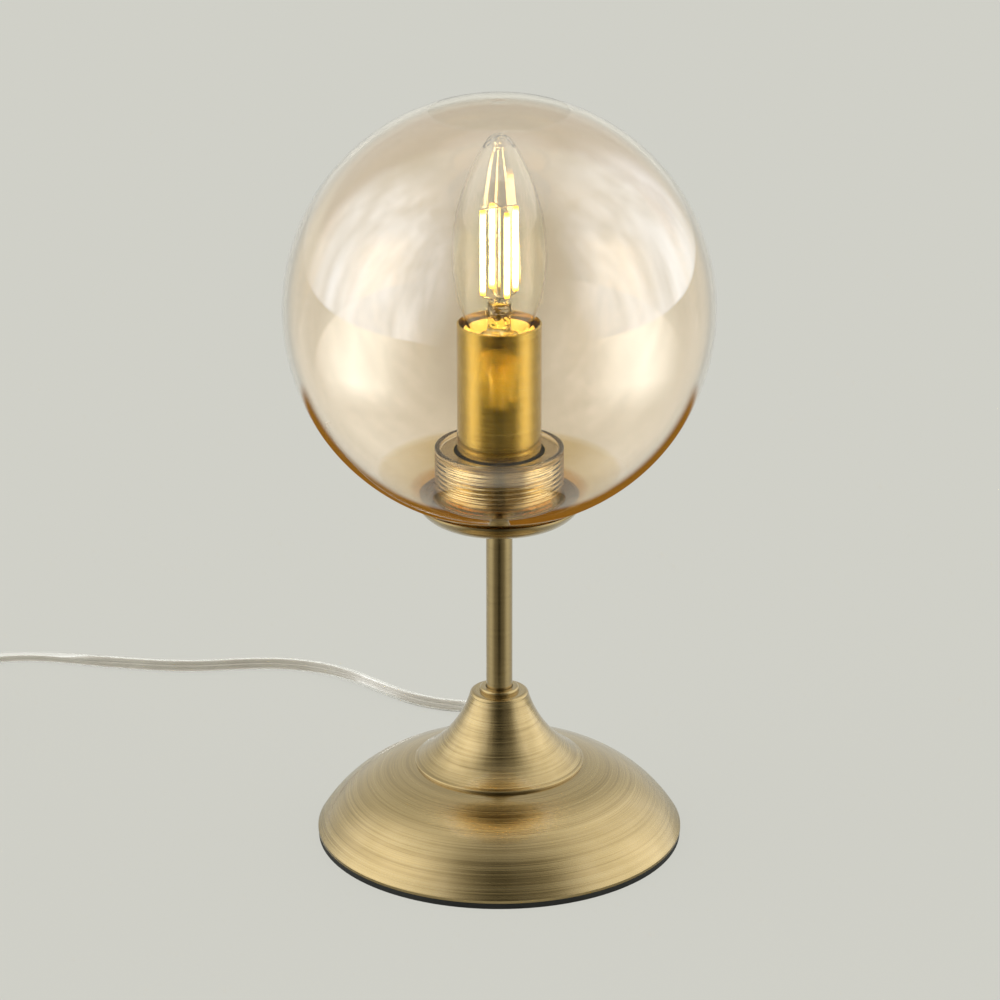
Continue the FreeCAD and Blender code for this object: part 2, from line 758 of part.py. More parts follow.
def socket():
    """The tube round the lampholder, the nut in its foot, and the lampholder."""
    keep("socket_sleeve", turned("socket_sleeve", [
        ("bore", "cup_floor_top"),
        ("sleeve_radius - sleeve_round", "cup_floor_top"),
        ("sleeve_radius", "cup_floor_top + sleeve_round", "sleeve_round", 1),
        ("sleeve_radius", "sleeve_top - small_edge"),
        ("sleeve_radius - small_edge", "sleeve_top"),
        ("sleeve_inner", "sleeve_top"),
        ("sleeve_inner", "sleeve_floor_top"),
        ("bore", "sleeve_floor_top"),
    ]))
    keep("holder_nut", hexagon("holder_nut", "holder_nut_flats", "holder_nut_height",
                               "sleeve_floor_top"))
    outside = "(holder_radius - small_edge)"
    inside = f"({outside} - holder_wall)"
    collar, cone = "(stem_radius + 3.5)", "4"
    keep("lampholder_base", turned("lampholder_base", [
        ("bore", "holder_low"),
        (collar, "holder_low"),
        (collar, f"stem_high - {cone}"),
        (outside, "stem_high"),
        (outside, "holder_joint"),
        (inside, "holder_joint"),
        (inside, "stem_high + holder_wall"),
        ("bore", "stem_high + holder_wall"),
    ]))
    mouth = "(cap_skirt_radius + 0.5)"
    shell_seat = "(shell_radius + 0.05)"
    rivet_hole, lip = "2", "0.5"
    under = "(holder_floor - holder_web)"
    keep("lampholder_body", turned("lampholder_body", [
        (rivet_hole, under),
        ("holder_radius - holder_wall", under),
        ("holder_radius - holder_wall", "holder_joint"),
        ("holder_radius", "holder_joint"),
        ("holder_radius", f"holder_top - {lip}"),
        (f"holder_radius - {lip}", "holder_top", lip, 1),
        (f"holder_radius - {lip} * 2", "holder_top"),
        (mouth, "holder_top - mouth_depth"),
        (mouth, "shell_high"),
        (shell_seat, "shell_high"),
        (shell_seat, "holder_floor"),
        (rivet_hole, "holder_floor"),
    ]))
    keep("lampholder_shell", turned("lampholder_shell", [
        ("shell_inner * 0.75", "shell_low"),
        ("shell_inner * 0.75", "shell_low - shell_wall"),
        ("shell_radius", "shell_low - shell_wall"),
        ("shell_radius", "shell_high"),
        ("shell_inner", "shell_high"),
        ("shell_inner", "shell_low"),
    ]))
    centre_contact()
    screws = []
    for k, side in enumerate((-1, 1), 1):
        screw = doc.addObject("Part::MultiFuse", f"terminal_screw_{k}")
        x, head = f"{side} * terminal_spread", "2"
        screw.Shapes = [
            cylinder(f"screw_shank_{k}", "1.5", f"terminal_drop - holder_web - {head}", x=x,
                     z=f"terminal_low + {head}"),
            cylinder(f"screw_head_{k}", "2.7", head, x=x, z="terminal_low"),
        ]
        screws.append(screw)
    group("terminal_screws", screws)


def centre_contact():
    """A springy strip, riveted to the holder's floor, that bends back over itself to the bulb."""
    strip, tail, bend = "0.4", "4.5", "4.2"
    top = "(contact_height - contact_gap)"

    def tongue(sketch):
        outline(sketch, [
            (f"-{tail}", "holder_floor"),
            ("1.5", "holder_floor"),
            (bend, "holder_floor + contact_rise * 0.6"),
            ("0", top),
            ("-2.2", f"{top} - 0.9"),
            ("-2.2", f"{top} - 0.9 - {strip}"),
            ("0", f"{top} - {strip}"),
            (f"{bend} - 2 * {strip}", "holder_floor + contact_rise * 0.53"),
            ("1.2", f"holder_floor + {strip}"),
            (f"-{tail}", f"holder_floor + {strip}"),
        ])

    contact = new_body("lampholder_contact")
    pad(contact, "tongue", "XZ_Plane", tongue, "4", middle=True)
    keep("lampholder_contact", contact)


# ---------------------------------------------------------------- globe

def globe():
    """A blown sphere whose foot folds up into a straight neck inside it."""
    share, inner_share = "(globe_radius / fold_middle)", "(glass_inner / fold_middle)"
    keep("globe", turned("globe", [
        ("0", "globe_centre + glass_inner", "glass_inner", 1),
        ("0", "globe_centre + globe_radius"),
        ("globe_radius", "globe_centre", "globe_radius", -1),
        (f"fold_centre * {share}", f"globe_centre - fold_drop * {share}", "globe_radius", -1),
        ("neck_bore_radius", "fold_height", "fold_radius", -1),
        ("neck_bore_radius", "neck_top - neck_round"),
        ("neck_bore_radius + neck_round", "neck_top", "neck_round", -1),
        ("neck_outer - neck_round", "neck_top"),
        ("neck_outer", "neck_top - neck_round", "neck_round", -1),
        ("neck_outer", "fold_height"),
        (f"fold_centre * {inner_share}", f"globe_centre - fold_drop * {inner_share}",
         "fold_radius - glass_wall", 1),
        ("glass_inner", "globe_centre", "glass_inner", 1),
    ]))


# ---------------------------------------------------------------- bulb

def bulb():
    """A candle bulb: belly, pointed top and drawn-in foot, on a small screw cap."""
    side = "(ogive_radius - bulb_radius)"
    tip_rise = f"sqrt((ogive_radius - tip_radius) ^ 2 - {side} ^ 2)"
    share = "(ogive_radius / (ogive_radius - tip_radius))"
    inner_ogive = "(ogive_radius - bulb_wall)"
    inner_share = f"({inner_ogive} / (ogive_radius - tip_radius))"
    inner_tip = "(tip_radius - bulb_wall)"
    inner_lower = "(lower_radius - bulb_wall)"
    inner_waist = (f"(bulb_radius - lower_radius"
                   f" + sqrt({inner_lower} ^ 2 - (belly_rise - waist_rise) ^ 2))")
    foot = "(cap_skirt_radius - 0.1)"
    keep("bulb_glass", turned("bulb_glass", [
        ("0", f"belly_height + {tip_rise} + {inner_tip}", inner_tip, 1),
        ("0", f"belly_height + {tip_rise} + tip_radius"),
        (f"{side} * {share} - {side}", f"belly_height + {tip_rise} * {share}", "tip_radius", -1),
        ("bulb_radius", "belly_height", "ogive_radius", -1),
        ("waist_radius", "waist_height", "lower_radius", -1),
        (foot, "cap_top", "bulb_neck_curve", -1),
        (f"{foot} - bulb_wall", "cap_top"),
        (inner_waist, "waist_height", "bulb_neck_curve - bulb_wall", 1),
        ("bulb_radius - bulb_wall", "belly_height", inner_lower, 1),
        (f"{side} * {inner_share} - {side}", f"belly_height + {tip_rise} * {inner_share}",
         inner_ogive, 1),
    ]))
    skirt_low = "(cap_top - cap_skirt)"
    rim, slack = "(cap_radius - cap_taper)", "cap_wall / 2"
    base = "(cap_shoulder - cap_taper * 0.9)"
    keep("bulb_cap", turned("bulb_cap", [
        (rim, base),
        ("cap_radius", "cap_shoulder"),
        ("cap_radius", f"{skirt_low} - cap_taper"),
        ("cap_skirt_radius", skirt_low),
        ("cap_skirt_radius", "cap_top"),
        ("cap_skirt_radius - cap_wall", "cap_top"),
        ("cap_skirt_radius - cap_wall", f"{skirt_low} + {slack}"),
        ("cap_radius - cap_wall", f"{skirt_low} - cap_taper + {slack}"),
        ("cap_radius - cap_wall", f"cap_shoulder + {slack}"),
        (f"{rim} - cap_wall", f"{base} + {slack}"),
    ]))
    tip = "0.5"
    keep("bulb_insulator", turned("bulb_insulator", [
        ("0", f"contact_height + {tip}"),
        ("2.4", f"contact_height + {tip}"),
        (rim, base),
        (f"{rim} - cap_wall", f"{base} + {slack}"),
        ("0", f"{base} + {slack}"),
    ]))
    keep("bulb_contact", turned("bulb_contact", [
        ("0", f"contact_height + {tip}"),
        ("0", "contact_height"),
        ("1.2", "contact_height"),
        ("2.3", f"contact_height + {tip}", "1.8", 1),
    ]))
    press_foot, press_round = "(cap_top + 0.6)", "(press_radius / 3)"
    press_skirt = "(cap_skirt_radius - bulb_wall - 1.2)"
    keep("bulb_press", turned("bulb_press", [
        ("0", press_foot),
        (press_skirt, press_foot),
        ("press_radius", f"{press_foot} + 3.4", "5", -1),
        ("press_radius", f"press_top - {press_round}"),
        (f"press_radius - {press_round}", "press_top", press_round, 1),
        ("0", "press_top"),
    ]))
    places = [math.radians(24.6 + 90 * k) for k in range(4)]
    sticks = []
    for number, angle in enumerate(places, 1):
        x, y = (f"filament_ring * {f(angle):.6f}" for f in (math.cos, math.sin))
        sticks.append(cylinder(f"filament_{number}", "filament_radius", "filament_length",
                               x=x, y=y, z="filament_low"))
    group("bulb_filaments", sticks)
    bulb_leads(places)
    bulb_driver()


def bulb_driver():
    """The small board in the cap and the part soldered to it."""
    board_width, board_thickness = "(cap_radius * 1.3)", "1"
    board = doc.addObject("Part::Box", "driver_board")
    bind(board, Length=board_width, Width=board_thickness, Height="cap_length * 0.6",
         place_x=f"-{board_width} / 2", place_y=f"-{board_thickness} / 2",
         place_z="cap_shoulder + 1.5")
    choke = cylinder("driver_choke", "2.2", "6", y="2.9", z="cap_shoulder + 4")
    link = cylinder("driver_link", "0.6", "3", y="0.2", z="cap_shoulder + 7", axis=Vector(0, 1, 0))
    driver = doc.addObject("Part::MultiFuse", "bulb_driver_fused")
    driver.Shapes = [board, choke, link]
    keep("bulb_driver", driver)


def rod_between(start, end, radius):
    return Part.makeCylinder(radius, (end - start).Length, start, end - start)


def bulb_leads(places):
    """The wires that hold the filaments: a post with two cross wires over them, one above the other,
    and a wire from the press to the foot of each."""
    wire, reach = value("lead_wire_radius"), value("filament_ring")
    low, high = value("filament_low"), value("filament_low + filament_length")
    press, overhang = value("press_top"), 0.8
    post, stub = wire * 4 / 3, wire * 0.8
    first = high + wire + 0.2
    step = wire * 4 / 3
    frame = rod_between(Vector(0, 0, press), Vector(0, 0, first + step / 8), post)
    wires = []
    for k, angle in enumerate(places):
        out = Vector(math.cos(angle), math.sin(angle), 0)
        level = first + step * (k % 2)
        if k < 2:
            ends = [out * side * (reach + overhang) + Vector(0, 0, level) for side in (-1, 1)]
            frame = frame.fuse(rod_between(*ends, wire))
        frame = frame.fuse(rod_between(out * reach + Vector(0, 0, high),
                                       out * reach + Vector(0, 0, level), stub))
        route = [out * 2.4 + Vector(0, 0, press), out * 2.4 + Vector(0, 0, press + 0.9),
                 out * reach + Vector(0, 0, low - 0.9), out * reach + Vector(0, 0, low)]
        wires.append(round_tube(rounded_path(route)[0], wire))
    leads = doc.addObject("Part::Feature", "bulb_leads")
    leads.Shape = Part.makeCompound([frame] + wires)
    keep("bulb_leads", leads)


# ---------------------------------------------------------------- leads inside

def inner_leads():
    """The lead from the bush through the weight's channel and up the stem, then its two cores."""
    height, radius = value("cord_exit_height"), value("cord_radius")
    top = value("stem_high - 1")
    route = [(0, value("bush_in"), height), (0, 0, height), (0, 0, top)]
    edges, radii = rounded_path(route, widest=value("stem_low") - height)
    print("inner_lead radii", [round(r, 1) for r in radii])
    swept("inner_lead", edges, radius)
    core, up = value("core_radius"), Vector(0, 0, 1)
    shapes = []
    for side in (-1, 1):
        start = Vector(side * core * 1.2, 0, top)
        end = Vector(side * value("terminal_spread"), 0, value("terminal_low"))
        shapes.append(round_tube(bent(start, up, end, up), core))
    cores = doc.addObject("Part::Feature", "lead_cores")
    cores.Shape = Part.makeCompound(shapes)
    keep("lead_cores", cores)


# ---------------------------------------------------------------- switch

def lozenge(sketch, shrink):
    """The switch's plan: square ends and bowed sides, drawn in by shrink."""
    half_length = f"(switch_length / 2 - {shrink})"
    half_end = f"(switch_end_width / 2 - {shrink} / 2)"
    bulge = f"(switch_width / 2 - {shrink} - {half_end})"
    curve = f"(({half_length} ^ 2 + {bulge} ^ 2) / 2 / {bulge})"
    outline(sketch, [
        (f"-{half_end}", f"-{half_length}", curve, 1),
        (half_end, f"-{half_length}"),
        (half_end, half_length, curve, 1),
        (f"-{half_end}", half_length),
    ])


def round_edges(body, name, radius, chosen):
    """Rounds the edges of the body that chosen picks by their bounding box."""
    doc.recompute()
    tip = body.Tip
    names = [f"Edge{k}" for k, edge in enumerate(tip.Shape.Edges, 1) if chosen(edge.BoundBox)]
    fillet = body.newObject("PartDesign::Fillet", name)
    fillet.Base = (tip, names)
    bind(fillet, Radius=radius)


def upright(box):
    return box.XLength < 0.01 and box.YLength < 0.01


def switch():
    """An in-line rocker switch: two shells held by two screws, and a rocker between posts."""
    spots = (("switch_screw_x", "switch_screw_y"), ("-switch_screw_x", "-switch_screw_y"))
    switch_lower(spots)
    switch_upper(spots)
    switch_rocker()
    screws = []
    head, sunk = "1.2", "0.4"
    for k, (x, y) in enumerate(spots, 1):
        at = {"x": f"switch_x + {x}", "y": f"switch_y + {y}"}
        screw = doc.addObject("Part::MultiFuse", f"switch_screw_{k}")
        screw.Shapes = [
            cylinder(f"switch_screw_head_{k}", "switch_screw_radius * 2", head, z=sunk, **at),
            cylinder(f"switch_screw_shank_{k}", "switch_screw_radius", "switch_split + 2",
                     z=f"{sunk} + {head}", **at),
        ]
        screws.append(screw)
    group("switch_screws", screws)
    blocks = []
    for k, side in enumerate((-1, 1), 1):
        block = doc.addObject("Part::Box", f"switch_terminal_{k}")
        bind(block, Length="4", Width="6", Height="4.4", place_x="switch_x + 2",
             place_y=f"switch_y + {side} * 11.5 - 3", place_z="switch_wall")
        blocks.append(block)
    group("switch_terminals", blocks)


BOSS = "(switch_screw_radius + 1.5)"


def switch_lower(spots):
    body = new_body("switch_lower")
    pad(body, "lower_block", "XY_Plane", lambda s: lozenge(s, "0"), "switch_split")
    round_edges(body, "lower_corners", "switch_edge * 1.5", upright)
    round_edges(body, "lower_edge", "switch_edge", lambda box: box.ZMax < 0.01)
    pocket(body, "lower_hollow", "XY_Plane", lambda s: lozenge(s, "switch_wall"),
           "switch_split - switch_wall", offset="switch_split")
    for k, (x, y) in enumerate(spots, 1):
        pad(body, f"lower_boss_{k}", "XY_Plane", lambda s: ring(s, x, y, BOSS),
            "switch_split - 0.5", offset="0.5")
        pocket(body, f"lower_head_hole_{k}", "XY_Plane",
               lambda s: ring(s, x, y, "switch_screw_radius * 2 + 0.1"), "1.6", backwards=True)
        pocket(body, f"lower_shank_hole_{k}", "XY_Plane",
               lambda s: ring(s, x, y, "switch_screw_radius + 0.2"), "switch_split",
               backwards=True)
    keep("switch_lower", bind(body, place_x="switch_x", place_y="switch_y"))


def switch_upper(spots):
    top = value("switch_height")
    body = new_body("switch_upper")
    pad(body, "upper_block", "XY_Plane", lambda s: lozenge(s, "0"),
        "switch_height - switch_split", offset="switch_split")
    round_edges(body, "upper_corners", "switch_edge * 1.5", upright)
    round_edges(body, "upper_edge", "switch_edge", lambda box: box.ZMin > top - 0.01)
    pocket(body, "upper_hollow", "XY_Plane", lambda s: lozenge(s, "switch_wall"),
           "switch_height - switch_split - switch_wall", offset="switch_split", backwards=True)
    half_x, half_y = "(rocker_width / 2 + rocker_gap)", "(rocker_length / 2 + rocker_gap)"
    pocket(body, "window", "XY_Plane", lambda s: rectangle(s, "0", "0", half_x, half_y),
           "switch_height * 2", middle=True)
    post_half = "(rocker_pin_radius * 2)"
    post_low = f"(rocker_axis - {post_half})"
    for k, side in enumerate(("-1", "1"), 1):
        place = f"{side} * ({half_x} + 1.2)"
        pad(body, f"post_{k}", "XY_Plane", lambda s: rectangle(s, place, "0", "1", post_half),
            f"switch_height - switch_wall / 2 - {post_low}", offset=post_low)
    for k, (x, y) in enumerate(spots, 1):
        pad(body, f"upper_boss_{k}", "XY_Plane", lambda s: ring(s, x, y, BOSS),
            "switch_height - switch_split - switch_wall / 2", offset="switch_split")
    pocket(body, "pin_holes", "YZ_Plane",
           lambda s: ring(s, "0", "rocker_axis", "rocker_pin_radius + 0.08"), "rocker_width + 6",
           middle=True)

    def screw_holes(sketch):
        for x, y in spots:
            ring(sketch, x, y, "switch_screw_radius")

    pocket(body, "upper_screw_holes", "XY_Plane", screw_holes, "5", offset="switch_split",
           backwards=True)
    keep("switch_upper", bind(body, place_x="switch_x", place_y="switch_y"))


def switch_rocker():
    """A boat-shaped rocker on two pins, at rest on one side."""
    body = new_body("switch_rocker")
    half, horn, keel = "rocker_length / 2", "(rocker_drop + 2.2)", "2.2"

    def side_view(sketch):
        outline(sketch, [
            (f"-{half}", "1"),
            (f"-{half} + 2", f"-{keel}"),
            (f"{half} - 2", f"-{keel}"),
            (half, "1"),
            (f"{half} - 0.5", horn),
            (f"-{half} + 0.5", horn, "rocker_length * 1.6", -1),
        ])

    pad(body, "rocker_block", "YZ_Plane", side_view, "rocker_width", middle=True)
    pad(body, "rocker_pins", "YZ_Plane", lambda s: ring(s, "0", "0", "rocker_pin_radius"),
        "rocker_width + 4.2", middle=True)
    bind(body, place_x="switch_x", place_y="switch_y", place_z="rocker_axis")
    body.Placement.Rotation = FreeCAD.Rotation(Vector(1, 0, 0), value("rocker_tilt"))
    body.setExpression("Placement.Rotation.Angle", sized("rocker_tilt"))
    keep("switch_rocker", body)


# ---------------------------------------------------------------- plug

def plug():
    """A flat two-pin plug: its body narrows to the lead and ends in a tapered sleeve."""
    body = new_body("plug_body")
    half, neck = "(plug_width / 2)", "(plug_neck_width / 2)"

    def plan(sketch):
        outline(sketch, [
            (f"-{half}", "0"),
            (half, "0"),
            (half, "plug_shoulder"),
            (neck, "plug_length", "plug_curve", -1),
            (f"-{neck}", "plug_length"),
            (f"-{half}", "plug_shoulder", "plug_curve", -1),
        ])

    pad(body, "plug_block", "XY_Plane", plan, "plug_thickness", middle=True)
    level = value("plug_middle")
    round_edges(body, "plug_edges", "plug_edge",
                lambda box: box.ZLength < 0.01 and abs(abs(box.ZMax) - level) < 0.01)
    overlap = "1"
    tail = sketch_on(body, "YZ_Plane", "plug_tail_section")
    outline(tail, [
        (f"plug_length - {overlap}", "0"),
        ("plug_length + plug_tail", "0"),
        ("plug_length + plug_tail", "bush_tip_radius"),
        (f"plug_length - {overlap}", f"{neck} * 0.8"),
    ])
    turn = body.newObject("PartDesign::Revolution", "plug_tail_turn")
    turn.Profile = tail
    turn.ReferenceAxis = (tail, ["H_Axis"])
    turn.Angle = 360
    keep("plug_body", bind(body, place_x="plug_x", place_y="plug_face", place_z="plug_middle"))
    pins, sleeves = [], []
    outside = "(pin_radius - pin_sleeve_inset)"
    core = f"({outside} - pin_sleeve_wall)"
    for k, side in enumerate((-1, 1), 1):
        at = {"x": f"plug_x + {side} * pin_spacing / 2", "z": "plug_middle",
              "axis": Vector(0, -1, 0)}
        pin = doc.addObject("Part::MultiFuse", f"plug_pin_{k}")
        pin.Shapes = [
            cylinder(f"pin_core_{k}", core, "pin_sleeve", y="plug_face", **at),
            cylinder(f"pin_end_{k}", "pin_radius", "pin_length - pin_sleeve",
                     y="plug_face - pin_sleeve", **at),
        ]
        pins.append(pin)
        sleeve = doc.addObject("Part::Cut", f"plug_pin_sleeve_{k}")
        sleeve.Base = cylinder(f"sleeve_rod_{k}", outside, "pin_sleeve", y="plug_face", **at)
        sleeve.Tool = cylinder(f"sleeve_bore_{k}", core, "pin_sleeve", y="plug_face", **at)
        sleeves.append(sleeve)
    group("plug_pins", pins)
    group("plug_pin_sleeves", sleeves)


# ---------------------------------------------------------------- the lamp

def check_and_write():
    """Stops at anything that failed; then writes each sub-part."""
    doc.recompute()
    failed = [o.Name for o in doc.Objects if {"Invalid", "Error"} & set(o.State)]
    failed += [n for n, o in nodes.items() if o.Shape.isNull() or not o.Shape.isValid()]
    failed += [n for n, o in nodes.items() if not o.Shape.Solids]
    if failed:
        raise RuntimeError(f"failed: {failed}")
    os.makedirs("parts", exist_ok=True)
    for name, thing in nodes.items():
        thing.Shape.exportStep(f"parts/{name}.step")
    print(len(nodes), "sub-parts written")


base_pad()
dome = base_dome()
base_weight()
cord_bush(dome)
base_bell()
stem()
gallery()
socket()
globe()
bulb()
inner_leads()
lead_from_base()
coil_of_lead()
switch()
plug()
check_and_write()
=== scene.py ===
import json
import math

import bmesh
import bpy
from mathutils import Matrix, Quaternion, Vector


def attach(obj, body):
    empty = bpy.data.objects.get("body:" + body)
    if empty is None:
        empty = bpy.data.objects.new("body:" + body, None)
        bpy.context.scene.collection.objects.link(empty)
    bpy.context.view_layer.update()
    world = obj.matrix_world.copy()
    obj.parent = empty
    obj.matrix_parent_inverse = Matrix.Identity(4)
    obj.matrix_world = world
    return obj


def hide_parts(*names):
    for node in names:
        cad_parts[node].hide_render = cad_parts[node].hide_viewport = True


# A glass globe lamp on its brass gallery and base, on a pale table in soft studio light. Metres, in the
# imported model's frame: +Z up, -Y towards the camera. Sizes are written in millimetres where they are used
# with mm().

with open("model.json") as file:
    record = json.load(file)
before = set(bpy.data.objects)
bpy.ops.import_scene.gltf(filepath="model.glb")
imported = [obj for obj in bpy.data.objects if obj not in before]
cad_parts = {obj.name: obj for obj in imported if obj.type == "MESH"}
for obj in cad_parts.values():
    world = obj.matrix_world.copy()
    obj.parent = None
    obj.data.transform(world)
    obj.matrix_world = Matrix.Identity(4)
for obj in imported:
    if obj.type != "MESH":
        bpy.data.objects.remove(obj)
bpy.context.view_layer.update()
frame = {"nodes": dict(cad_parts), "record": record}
scene = bpy.context.scene
scene.view_settings.view_transform = "Standard"

BACKGROUND = (0.638, 0.638, 0.584, 1)


def mm(*sizes):
    """Sizes given in millimetres, in metres."""
    return sizes[0] / 1000 if len(sizes) == 1 else Vector(sizes) / 1000


# ---------------------------------------------------------------- camera

camera = bpy.data.objects.new("camera", bpy.data.cameras.new("camera"))
scene.collection.objects.link(camera)
camera.location = (0, -1.4701, 0.6952)
camera.rotation_euler = (math.radians(90 - 20.843), 0, 0)
camera.data.lens = 151.5
camera.data.sensor_width = 36
camera.data.shift_x = 0.0007
scene.camera = camera


# ---------------------------------------------------------------- node trees

def add(tree, kind, inputs=None, **settings):
    """A node in a tree. An input is a number, a colour or another node's output."""
    node = tree.nodes.new("ShaderNode" + kind)
    for name, setting in settings.items():
        setattr(node, name, setting)
    for name, given in (inputs or {}).items():
        if isinstance(given, bpy.types.NodeSocket):
            tree.links.new(given, node.inputs[name])
        else:
            node.inputs[name].default_value = given
    return node


def calculate(tree, operation, *values):
    """A number worked out from others."""
    return add(tree, "Math", dict(enumerate(values)), operation=operation).outputs[0]


def product(tree, first, *factors):
    """All the factors multiplied."""
    for factor in factors:
        first = calculate(tree, "MULTIPLY", first, factor)
    return first


def mixed(tree, share, none, full):
    """A colour that goes from none to full with a share."""
    return add(tree, "MixRGB", {"Fac": share, "Color1": none, "Color2": full}).outputs[0]


def ramp(tree, factor, *stops):
    """A colour ramp through stops of (position, colour)."""
    node = add(tree, "ValToRGB", {"Fac": factor})
    elements = node.color_ramp.elements
    while len(elements) < len(stops):
        elements.new(0.5)
    for element, (position, colour) in zip(elements, stops):
        element.position = position
        element.color = (*colour, 1)
    return node.outputs["Color"]


def spread(tree, factor, low, high, start=0.0, end=1.0):
    """The factor's stretch from start to end, mapped to low to high."""
    node = add(tree, "MapRange", {"Value": factor, "From Min": start, "From Max": end,
                                  "To Min": low, "To Max": high})
    return node.outputs["Result"]


def step_between(tree, value, none, full):
    """0 at none, 1 at full, smooth between."""
    node = add(tree, "MapRange", {"Value": value, "From Min": none, "From Max": full},
               interpolation_type="SMOOTHSTEP")
    return node.outputs["Result"]


def place(tree):
    """The row frame's coordinates, because every node's object sits at the origin."""
    return add(tree, "TexCoord").outputs["Object"]


def noise(tree, scale, detail):
    """Soft noise in space, from 0 to 1."""
    return add(tree, "TexNoise", {"Vector": place(tree), "Scale": scale, "Detail": detail}).outputs["Fac"]


def bump(tree, height, strength, distance):
    """A surface's normal from a height."""
    return add(tree, "Bump", {"Height": height, "Strength": strength,
                              "Distance": distance}).outputs["Normal"]


def finish_of(name, shader):
    """A material whose surface is the principled shader with these inputs, given by a function of the
    tree."""
    material = bpy.data.materials.new(name)
    material.use_nodes = True
    tree = material.node_tree
    principled = tree.nodes["Principled BSDF"]
    for socket, given in shader(tree).items():
        if isinstance(given, bpy.types.NodeSocket):
            tree.links.new(given, principled.inputs[socket])
        else:
            principled.inputs[socket].default_value = given
    return material


# ---------------------------------------------------------------- materials

def polar(tree):
    """A point's flat way out from the lamp's axis, its distance from the axis and its height."""
    apart = add(tree, "SeparateXYZ", {0: place(tree)})
    flat = add(tree, "CombineXYZ", {"X": apart.outputs["X"], "Y": apart.outputs["Y"]}).outputs[0]
    away = add(tree, "VectorMath", {0: flat}, operation="LENGTH").outputs["Value"]
    return flat, away, apart.outputs["Z"]


def zone(tree, out, up):
    """1 in a part of the lamp, 0 elsewhere. Both pairs are in millimetres: out has the distances from
    the axis, and up the heights, where the part is left and where it is entered in full."""
    _, away, height = polar(tree)
    return product(tree, step_between(tree, away, mm(out[0]), mm(out[1])),
                   step_between(tree, height, mm(up[0]), mm(up[1])))


def lathe_grain(tree, across, around):
    """Noise in fine rings round the lamp's axis, as turning and brushing leave them. across is its
    scale from ring to ring, and around its scale along a ring."""
    flat, away, height = polar(tree)
    heading = add(tree, "VectorMath", {0: flat}, operation="NORMALIZE").outputs["Vector"]
    turned = add(tree, "VectorMath", {0: heading, "Scale": around}, operation="SCALE").outputs[0]
    level = add(tree, "CombineXYZ", {"Z": product(tree, height, across)}).outputs[0]
    where = add(tree, "VectorMath", {0: turned, 1: level}).outputs[0]
    return add(tree, "TexNoise", {"Vector": where, "W": product(tree, away, across), "Scale": 1.0,
                                  "Detail": 4.0}, noise_dimensions="4D").outputs["Fac"]


def evened(tree, grain, share):
    """A grain with less contrast on the drawn tubes than on what was turned."""
    tubes = zone(tree, (24.5, 23.5), (58, 60))
    left = calculate(tree, "MULTIPLY_ADD", tubes, share - 1, 1.0)
    apart = calculate(tree, "SUBTRACT", grain, 0.5)
    return calculate(tree, "MULTIPLY_ADD", apart, left, 0.5)


def brass_tone(tree, grain):
    """The colour of aged brass from its grain: olive outside, with a painted warm glow of the bulb's light
    that makes the sleeve in the globe more golden, and painted shade that darkens the upper side of the
    dish under the glass."""
    aged = ramp(tree, grain, (0.30, (0.25, 0.175, 0.065)), (0.50, (0.41, 0.305, 0.135)),
                (0.70, (0.50, 0.385, 0.185)))
    # Painted light: a brighter, more golden copy of the brass for the sleeve in the globe, standing in for
    # the bulb's warm light on it.
    sleeve_glow_tone = ramp(tree, grain, (0.30, (0.34, 0.22, 0.025)), (0.50, (0.48, 0.35, 0.06)),
                 (0.70, (0.62, 0.48, 0.12)))
    sleeve = zone(tree, (18, 17), (138, 140))
    height = polar(tree)[2]
    facing = add(tree, "SeparateXYZ", {0: add(tree, "NewGeometry").outputs["Normal"]}).outputs["Z"]
    # Painted shade: the upper side of the dish under the glass is darkened.
    dish = product(tree, zone(tree, (34, 33), (123, 125)),
                   step_between(tree, height, mm(140), mm(139)), step_between(tree, facing, 0.1, 0.4))
    shaded, depth = (0.055, 0.04, 0.015, 1), 0.75
    return mixed(tree, product(tree, dish, depth), mixed(tree, sleeve, aged, sleeve_glow_tone), shaded)


def antique_brass(tree):
    """Aged brass, brushed round the lamp's axis under a clear lacquer."""
    fine = evened(tree, lathe_grain(tree, 2300, 0.7), 0.45)
    broad = evened(tree, lathe_grain(tree, 620, 0.35), 0.2)
    worn = noise(tree, 16, 4)
    tone = calculate(tree, "ADD", product(tree, fine, 0.6), product(tree, broad, 0.4))
    return {
        "Base Color": brass_tone(tree, tone),
        "Metallic": 1.0,
        "Roughness": calculate(tree, "ADD", spread(tree, fine, 0.17, 0.30, 0.3, 0.7),
                               spread(tree, worn, -0.02, 0.03, 0.35, 0.65)),
        "Anisotropic": 0.75,
        "Tangent": add(tree, "Tangent", direction_type="RADIAL", axis="Z").outputs[0],
        "Normal": bump(tree, fine, 0.15, 0.00004),
        "Coat Weight": 0.7,
        "Coat Roughness": 0.05,
    }


def lit_thread_brass(tree):
    """The cup's brass: a much paler copy of the aged brass as painted light, with crisp highlights on its
    thread.
    """
    # Painted light: this base colour is far lighter than the aged brass elsewhere, as if the cup were lit.
    fine = lathe_grain(tree, 2300, 1.2)
    return {
        "Base Color": ramp(tree, fine, (0.3, (0.74, 0.66, 0.42)), (0.7, (0.88, 0.80, 0.56))),
        "Metallic": 1.0,
        "Roughness": spread(tree, fine, 0.08, 0.18, 0.3, 0.7),
        "Normal": bump(tree, fine, 0.15, 0.00004),
        "Coat Weight": 0.6,
        "Coat Roughness": 0.04,
    }


def contact_brass(tree):
    """Bright stamped brass with a faint mottle."""
    speck = noise(tree, 900, 4)
    return {
        "Base Color": ramp(tree, speck, (0.3, (0.62, 0.44, 0.16)), (0.7, (0.86, 0.67, 0.32))),
        "Metallic": 1.0,
        "Roughness": spread(tree, speck, 0.18, 0.34),
        "Normal": bump(tree, speck, 0.1, 0.00005),
    }


